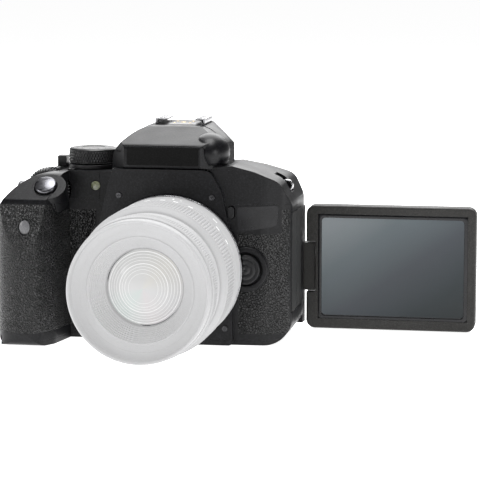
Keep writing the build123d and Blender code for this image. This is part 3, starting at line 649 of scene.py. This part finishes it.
# %% Mode dial
def saw(value):
    """A triangle wave that runs 0, 1, 0 over each unit."""
    return 1 - np.abs(2 * (value % 1.0) - 1)


def diamonds(count, pitch, depth, low, high):
    """Pyramids where two slanted triangle waves are both high, inside a band."""
    def rise(along, radius, angle):
        turn = count * angle / (2 * np.pi)
        peak = np.minimum(saw(turn + along / pitch), saw(turn - along / pitch))
        return depth * (peak - 1) * band(along, low, high, 0.2 * MM) * (radius > 0.97 * radius.max())
    return rise


dial_low, dial_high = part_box("mode_dial")
dial_centre = (dial_low + dial_high) / 2
dial_r = (dial_high.x - dial_low.x) / 2
KNOB_HEIGHT = 6.9 * MM
skirt = dial_high.z - KNOB_HEIGHT
cap_z = dial_high.z - skirt
dial_foot = Vector((dial_centre.x, dial_centre.y, skirt))
dial_outline = np.vstack([
    [(0, 0)], soften([(dial_r - 1.2 * MM, 0), (dial_r - 0.2 * MM, 0.3 * MM)], 0.1 * MM, closed=False),
    np.stack([np.full(34, dial_r), np.linspace(0.5 * MM, cap_z - 1.0 * MM, 34)], 1),
    [(dial_r - 0.25 * MM, cap_z - 0.7 * MM), (dial_r - 0.7 * MM, cap_z - 0.25 * MM),
     (dial_r - 1.2 * MM, cap_z - 0.1 * MM), (dial_r - 1.6 * MM, cap_z - 0.3 * MM),
     (dial_r - 6.0 * MM, cap_z - 0.3 * MM), (dial_r - 6.2 * MM, cap_z - 0.15 * MM),
     (3.4 * MM, cap_z - 0.15 * MM), (0, cap_z - 0.1 * MM)]])
shape = turned(dial_outline, dial_foot, (0, 0, 1), 720,
               diamonds(54, 2.6 * MM, 0.55 * MM, 0.5 * MM, cap_z - 1.0 * MM), closed=False)
make_piece("mode_dial_knob", *shape, dial_plastic, "mode_dial", ["mode_dial"], "dial_plastic")

ring_finish = moulded("dial_print", (0.03, 0.03, 0.03), (0.2, 0.2, 0.2), 0.3, 2600, 0.01 * MM, 0.3)
face_outline = soften([(5.2 * MM, cap_z - 0.3 * MM), (dial_r - 1.7 * MM, cap_z - 0.3 * MM),
                       (dial_r - 1.7 * MM, cap_z - 0.06 * MM), (5.2 * MM, cap_z - 0.06 * MM)], 0.05 * MM, 2)
shape = turned(face_outline, dial_foot, (0, 0, 1), 120)
make_piece("mode_dial_ring", *shape, ring_finish, "mode_dial", slot="bright_steel")


def slab(centre, along, across, way, length, width, height, corner=0.2 * MM, rows=3):
    """A small raised tablet: a rounded rectangle carried up along a way, with a closed top and foot."""
    half = np.array([(-length, -width), (length, -width), (length, width), (-length, width)]) / 2
    rim = soften(half, min(corner, 0.45 * min(length, width)), 4)
    scale = np.array([0.0, 1.0, 1.0, 0.92, 0.0])[:, None, None]
    lift = np.array([0.0, 0.0, 0.8, 1.0, 1.0])[:, None, None] * height
    flat = scale * rim[None]
    points = (np.array(centre) + flat[..., :1] * np.array(along) + flat[..., 1:] * np.array(across)
              + lift * np.array(way))
    return points, grid_faces(5, len(rim), False, True)


mark_sizes = [(1.9, 0.5), (0.6, 0.6), (1.2, 0.4), (0.6, 0.6), (1.9, 0.5), (1.0, 0.35)] * 2
marks = []
for turn, (length, width) in enumerate(mark_sizes):
    angle = 2 * np.pi * turn / len(mark_sizes)
    out = np.array([np.cos(angle), np.sin(angle), 0])
    round_way = np.array([-np.sin(angle), np.cos(angle), 0])
    spot = np.array(dial_foot) + 7.3 * MM * out + np.array([0, 0, cap_z - 0.06 * MM])
    marks.append(slab(spot, out, round_way, (0, 0, 1), length * MM, width * MM, 0.05 * MM))
make_piece("mode_dial_marks", *joined(*marks), dial_plastic, "mode_dial", slot="dial_plastic")
print("mode dial", round(2 * dial_r / MM, 1), "mm across,", len(marks), "plain marks")

# %% [markdown]
# ## The ribbed main dial
# A wheel lies behind the shutter button with its top out of the casing. Its ribs run across the
# rim, so the wave depends on the angle alone, and both rims are bevelled.

# %% Main dial
wheel_low, wheel_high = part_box("main_dial")
wheel_r = (wheel_high.z - wheel_low.z) / 2
wheel_w = wheel_high.y - wheel_low.y
wheel_back = Vector(((wheel_low.x + wheel_high.x) / 2, wheel_high.y, (wheel_low.z + wheel_high.z) / 2))


def wheel_ribs(along, radius, angle):
    """Pointed ribs: the radius drops by 0.7 mm between them."""
    return -0.7 * MM * (1 - saw(44 * angle / (2 * np.pi))) ** 1.3 * (radius > 0.9 * wheel_r)


wheel_outline = np.vstack([[(0, 0)], soften([(wheel_r - 1.2 * MM, 0), (wheel_r, 1.0 * MM)], 0.1 * MM,
                                           closed=False),
                           np.stack([np.full(6, wheel_r), np.linspace(1.4 * MM, wheel_w - 1.4 * MM, 6)], 1),
                           [(wheel_r, wheel_w - 1.0 * MM), (wheel_r - 1.2 * MM, wheel_w), (0, wheel_w)]])
shape = turned(wheel_outline, wheel_back, (0, -1, 0), 528, wheel_ribs, closed=False)
make_piece("main_dial_wheel", *shape, dial_plastic, "main_dial", ["main_dial"], "dial_plastic")
print("main dial", round(2 * wheel_r / MM, 1), "mm across")

# %% [markdown]
# ## The shutter button
# A plated cap, slightly domed, in a dark gap. It is tilted forwards like the seat that it sits in,
# and its press direction in the record gives the tilt.

# %% Shutter button
press = Vector(joints["shutter_press"]["axis"])
button_way = -press.normalized()
button_low, button_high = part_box("shutter_button")
button_r = (button_high.x - button_low.x) / 2
corners = np.array([v.co for v in parts["shutter_button"].data.vertices])
heights = corners @ np.array(button_way)
crown_height = heights.max()
button_mid = (button_low + button_high) / 2
button_x = button_mid.x
rim_points = corners[np.abs(heights - crown_height) < 0.05 * MM]
button_top = Vector(rim_points.mean(0))
button_top.x = button_x
cap_r = np.linspace(0, button_r - 0.5 * MM, 14)
cap_drop = -0.75 * MM * (cap_r / button_r) ** 2
cap_outline = np.vstack([np.stack([cap_r, cap_drop], 1),
                         [(button_r - 0.25 * MM, -0.8 * MM), (button_r - 0.05 * MM, -1.05 * MM),
                          (button_r, -1.5 * MM), (button_r, -4.2 * MM), (0, -4.2 * MM)]])
shape = turned(cap_outline, button_top, button_way, 72, closed=False)
make_piece("shutter_cap", *shape, shutter_metal, "shutter_button", ["shutter_button"], "shutter_metal")
print("shutter cap", round(2 * button_r / MM, 1), "mm across")

# %% [markdown]
# ## The accessory shoe
# Two sheet steel rails, folded over at the top, hold an accessory's foot, and flare at the front
# end. One outline is carried along the rail, and its lift grows over the last few millimetres.

# %% Shoe rails and contacts
shoe_low, shoe_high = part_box("hot_shoe")
shoe_floor = shoe_high.z - 2.5 * MM
rail_y = np.linspace(shoe_low.y, shoe_high.y, 30)
flare = np.clip(1 - (rail_y - rail_y[0]) / (4.5 * MM), 0, 1) ** 2


def rail(side):
    """A folded rail: its outline in X and Z is carried along Y, and the fold opens by the flare."""
    edge = shoe_high.x
    section = soften([(edge - 1.0 * MM, 0), (edge, 0), (edge, 2.05 * MM), (edge - 4.9 * MM, 2.05 * MM),
                      (edge - 4.9 * MM, 1.4 * MM), (edge - 1.0 * MM, 1.4 * MM)], 0.3 * MM, 4)
    reach = (edge - section[:, 0]) / (4.9 * MM)
    x = section[None, :, 0] + 0.5 * MM * flare[:, None] * reach[None, :]
    z = section[None, :, 1] + 0.42 * MM * flare[:, None] * (section[None, :, 1] > 1.0 * MM)
    x = np.clip(x, 0, edge)
    points = np.stack([side * x, np.broadcast_to(rail_y[:, None], x.shape), shoe_floor + z], -1)
    middle = points.mean(1, keepdims=True)[[0, -1]]
    points = np.concatenate([np.broadcast_to(middle[:1], points[:1].shape), points,
                             np.broadcast_to(middle[1:], points[:1].shape)])
    return points, grid_faces(len(points), len(section), False, True)


make_piece("shoe_rails", *joined(rail(1), rail(-1)), bright_steel, "body", ["hot_shoe"], "bright_steel")
shoe_mid = np.array([0, (shoe_low.y + shoe_high.y) / 2, shoe_floor - 0.55 * MM])
plate = slab(shoe_mid, (1, 0, 0), (0, 1, 0), (0, 0, 1), 21.8 * MM, shoe_high.y - shoe_low.y,
             0.5 * MM, 1 * MM)
make_piece("shoe_plate", *plate, black_zinc, "body", slot="screw_steel")
contacts = [turned([(0, 0), (r, 0), (r, 0.1 * MM), (0.6 * r, 0.16 * MM), (0, 0.16 * MM)],
                   shoe_mid + np.array([x * MM, y * MM, 0.45 * MM]), (0, 0, 1), 28, closed=False)
            for x, y, r in ((0, -1.0, 1.3 * MM), (-3.6, 3.4, 0.7 * MM), (3.6, 3.4, 0.7 * MM),
                            (-3.6, -4.4, 0.7 * MM), (3.6, -4.4, 0.7 * MM))]
make_piece("shoe_contacts", *joined(*contacts), gold_contact, "body", slot="bright_steel")
print("shoe", round(2 * shoe_high.x / MM, 1), "mm wide")

# %% [markdown]
# ## Strap eyelets
# Bright pressed rings stand in a dark pocket on each shoulder. A round-cornered section is carried
# round an oval path, point = middle + (path + out * radial part), so the ring stays closed.


# %% Strap eyelets
def eyelet(low, high):
    """An oval ring that fills a box in X and Z, with its hole along Y."""
    middle, size = (low + high) / 2, high - low
    angle = np.linspace(0, 2 * np.pi, 64, endpoint=False)[:, None]
    section = soften([(-0.85, -1.6), (0.0, -1.6), (0.0, 1.6), (-0.85, 1.6)], 0.4, 5) * MM
    out_x, out_z = size.x / 2 + section[None, :, 0], size.z / 2 + section[None, :, 0]
    x, z = middle.x + out_x * np.cos(angle), middle.z + out_z * np.sin(angle)
    y = np.broadcast_to(middle.y + section[None, :, 1], x.shape)
    return np.stack([x, y, z], -1), grid_faces(64, len(section), True, True)


lug = np.array([v.co for v in parts["strap_lugs"].data.vertices])
rings = [eyelet(Vector(side.min(0)), Vector(side.max(0)))
         for side in (lug[lug[:, 0] > 0], lug[lug[:, 0] < 0])]
make_piece("strap_eyelets", *joined(*rings), bright_steel, "body", ["strap_lugs"], "bright_steel")
print(len(rings), "eyelets")

# %% [markdown]
# ## The lamp and the remote sensor
# Both are small windows with a domed face: an oval grid whose depth grows with the square of
# the distance from its middle, closed by a foot that stands inside the casing.


# %% Lamp and sensor domes
def oval_dome(low, high, bulge, rows=12, steps=60):
    """A dome on an oval foot that looks along -Y. Its depth is bulge * (1 - s^2), s from middle to rim."""
    middle, half = (low + high) / 2, (high - low) / 2
    s = np.linspace(0, 1, rows)[:, None]
    angle = np.linspace(0, 2 * np.pi, steps, endpoint=False)[None, :]
    x, z = middle.x + half.x * s * np.cos(angle), middle.z + half.z * s * np.sin(angle)
    y = np.broadcast_to(low.y + bulge * s ** 2, x.shape)
    front = np.stack([x, y, z], -1)
    foot = front[-1:] + np.array([0, high.y - low.y - bulge, 0])
    back = np.broadcast_to(foot.mean(1, keepdims=True), foot.shape)
    return np.concatenate([front, foot, back]), grid_faces(rows + 2, steps, False, True)


make_piece("timer_lamp_lens", *oval_dome(*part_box("timer_lamp"), 0.35 * MM), lamp_window, "body",
           ["timer_lamp"], "clear_window")
make_piece("remote_sensor_lens", *oval_dome(*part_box("remote_sensor"), 0.5 * MM), sensor_window, "body",
           ["remote_sensor"], "sensor_window")
print("two windows domed")

# %% [markdown]
# ## The screen's rim
# The glass sits a little below a thin glossy frame with rounded corners. The frame is one band
# between an outer and an inner rounded rectangle. Both have the same number of points, so the
# rows of the grid simply run from one to the other and dip at the inner edge.


# %% Screen rim and glass
def rounded(low, high, inset, corner, steps=8):
    """A rounded rectangle in X and Z, as rows of points."""
    x0, x1, z0, z1 = low.x + inset, high.x - inset, low.z + inset, high.z - inset
    return soften([(x0, z0), (x1, z0), (x1, z1), (x0, z1)], corner, steps)


case_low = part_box("screen_front_case")[0]
insets = (0.05, 0.05, 0.35, 1.35, 1.6, 1.7)
depths = (0.30, 0.16, 0.06, 0.06, 0.14, 0.30)
rim_rows = [rounded(glass_low, glass_high, i * MM, 2.0 * MM) for i in insets]
rim_points = np.stack([np.stack([row[:, 0], np.full(len(row), case_low.y + d * MM), row[:, 1]], -1)
                       for row, d in zip(rim_rows, depths)])
make_piece("screen_rim", rim_points, grid_faces(len(insets), rim_points.shape[1], True, True), badge_gloss,
           "screen", slot="control_plastic")
pane_rows = [rounded(glass_low, glass_high, i * MM, 1.8 * MM) for i in (0.3, 0.3, 0.5, 0.6, 1.2)]
pane = np.stack([np.stack([row[:, 0], np.full(len(row), y), row[:, 1]], -1) for row, y in
                 zip(pane_rows, (glass_high.y, glass_low.y + 0.1 * MM, *[glass_low.y] * 3))])
pane_mid = pane.mean(1, keepdims=True)
pane = np.concatenate([np.broadcast_to(pane_mid[:1], pane[:1].shape), pane,
                       np.broadcast_to(pane_mid[-1:], pane[:1].shape)])
make_piece("screen_pane", pane, grid_faces(len(pane), pane.shape[1], False, True), screen_glass, "screen",
           ["screen_glass"], "screen_glass")
print("pane", round(glass_size.x / MM, 1), "mm wide")

# %% [markdown]
# ## Small things on the casing
# The lens release has a ridged cap inside a raised boss. The plate on the prism housing carries no
# name here: it is a blank panel, darker than the body as painted shade under the housing's overhang.
# Two thin dark tablets are painted shade that stands for the slots that let sound into the microphones.

# %% Release cap, boss, blank plate and slots
release_low, release_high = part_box("lens_release_button")
release_r = (release_high.z - release_low.z) / 2
release_mid = Vector((release_high.x - release_r, release_low.y, (release_low.z + release_high.z) / 2))
cap_depth = release_high.y - release_low.y
ridge_r = np.linspace(0, release_r - 0.3 * MM, 60)
ridges = -0.5 * MM * (1 - (ridge_r / release_r) ** 2) - 0.28 * MM * (1 - saw(ridge_r / (2.3 * MM))) ** 2
cap_profile = np.vstack([np.stack([ridge_r, ridges], 1),
                         [(release_r - 0.05 * MM, -0.55 * MM), (release_r, -0.9 * MM),
                          (release_r, -cap_depth), (0, -cap_depth)]])
cap_points, cap_faces = turned(cap_profile, release_mid, (0, -1, 0), 96, closed=False)
cap_points[..., 0] = np.maximum(cap_points[..., 0], release_low.x + 0.02 * MM)
make_piece("release_cap", cap_points, cap_faces, key_plastic, "lens_release_button", ["lens_release_button"],
           "control_plastic")
BOSS_BACK_Y = -17.2 * MM
BOSS_R = 10.0 * MM
BOSS_RISE = 1.1 * MM
boss_back = Vector((release_mid.x, BOSS_BACK_Y, release_mid.z))
boss_profile = soften([(release_r + 0.5 * MM, 0), (BOSS_R, 0), (BOSS_R - 0.4 * MM, BOSS_RISE),
                       (release_r + 0.9 * MM, BOSS_RISE)], 0.35 * MM, 5)
shape = turned(boss_profile, boss_back, (0, -1, 0), 120)
make_piece("release_boss", *shape, body_plastic, "body", slot="body_plastic")
# The blank plate takes the dark inner plastic as painted shade under the housing's overhang.
PLATE_MID = (-2.2 * MM, -21.75 * MM, 83.4 * MM)
PLATE_LENGTH, PLATE_WIDTH, PLATE_RISE = 32.0 * MM, 7.8 * MM, 0.16 * MM
blank_plate_painted_shade = slab(PLATE_MID, (1, 0, 0), (0, 0, 1), (0, -1, 0), PLATE_LENGTH, PLATE_WIDTH, PLATE_RISE,
                   0.9 * MM)
make_piece("blank_plate_painted_shade", *blank_plate_painted_shade, inner_plastic, "body", slot="body_plastic")
# The slot tablets are dark inner plastic: painted shade where the sound holes would be.
SLOT_LENGTH, SLOT_WIDTH, SLOT_RISE = 1.6 * MM, 0.5 * MM, 0.1 * MM
DECK_ALONG, DECK_OUT = (0.95, 0.1, -0.3), (0.3, 0, 0.95)
slots = [slab((x * MM, -12.6 * MM, 75.8 * MM), DECK_ALONG, (0, 1, 0), DECK_OUT, SLOT_LENGTH,
              SLOT_WIDTH, SLOT_RISE) for x in (36.0, 38.6)]
make_piece("sound_slots_painted_shade", *joined(*slots), inner_plastic, "body", slot="chassis_plastic")
print("release cap", round(2 * release_r / MM, 1), "mm across")

# %% [markdown]
# ## Marks on the back keys
# Each key carries a plain mark, a bar or a dot, so that the keys can be told apart without any
# lettering. A mark is a very thin tablet laid on the key's rear face.

# %% Key marks
KEY_MARKS = {"menu_button": (3.2, 0.5), "info_button": (0.7, 0.7), "play_button": (0.6, 1.8),
             "erase_button": (1.8, 0.6), "live_view_button": (0.9, 0.9), "quick_button": (1.6, 0.5),
             "set_button": (2.6, 0.5)}
for key, (wide, tall) in KEY_MARKS.items():
    key_low, key_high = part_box(key)
    spot = ((key_low.x + key_high.x) / 2, key_high.y - 0.03 * MM, (key_low.z + key_high.z) / 2)
    mark = slab(spot, (1, 0, 0), (0, 0, 1), (0, 1, 0), wide * MM, tall * MM, 0.06 * MM)
    make_piece("mark_on_" + key, *mark, mark_white, key, slot="control_plastic")
print(len(KEY_MARKS), "keys marked")

# %% [markdown]
# ## Last touches on the lens
# The barrel carries white index marks. Numbers or names are left out, and small tablets stand for
# them, laid on the curved wall at a few angles.


# %% Lens marks
def on_barrel(angle_deg, along, radius):
    """A place on a lens wall, with the ways round it, along it and out of it."""
    angle = np.radians(angle_deg)
    out = np.array([np.sin(angle), 0, np.cos(angle)])
    round_way = np.array([np.cos(angle), 0, -np.sin(angle)])
    return np.array(axis_point) + along * np.array(LENS_WAY) + radius * out, round_way, out


lens_marks = []
for angle_deg, along, length, width in ((8, 9.6, 0.9, 2.4), (14, 9.6, 0.9, 0.9), (44, 9.6, 2.6, 0.9)):
    spot, round_way, out = on_barrel(angle_deg, along * MM, barrel_r - 0.03 * MM)
    lens_marks.append(slab(spot, round_way, LENS_WAY, out, length * MM, width * MM, 0.08 * MM))
make_piece("barrel_marks", *joined(*lens_marks), lens_white, "body", slot="lens_plastic")
zoom_marks = []
for angle_deg in (-22, -10, 2, 12, 24, 50, 62):
    spot, round_way, out = on_barrel(angle_deg, zoom_start + 2.4 * MM, zoom_r - 0.22 * MM)
    zoom_marks.append(slab(spot, round_way, LENS_WAY, out, 2.2 * MM, 1.3 * MM, 0.1 * MM))
make_piece("zoom_marks", *joined(*zoom_marks), lens_white, "zoom_ring", slot="lens_plastic")
print(len(lens_marks) + len(zoom_marks), "plain marks")
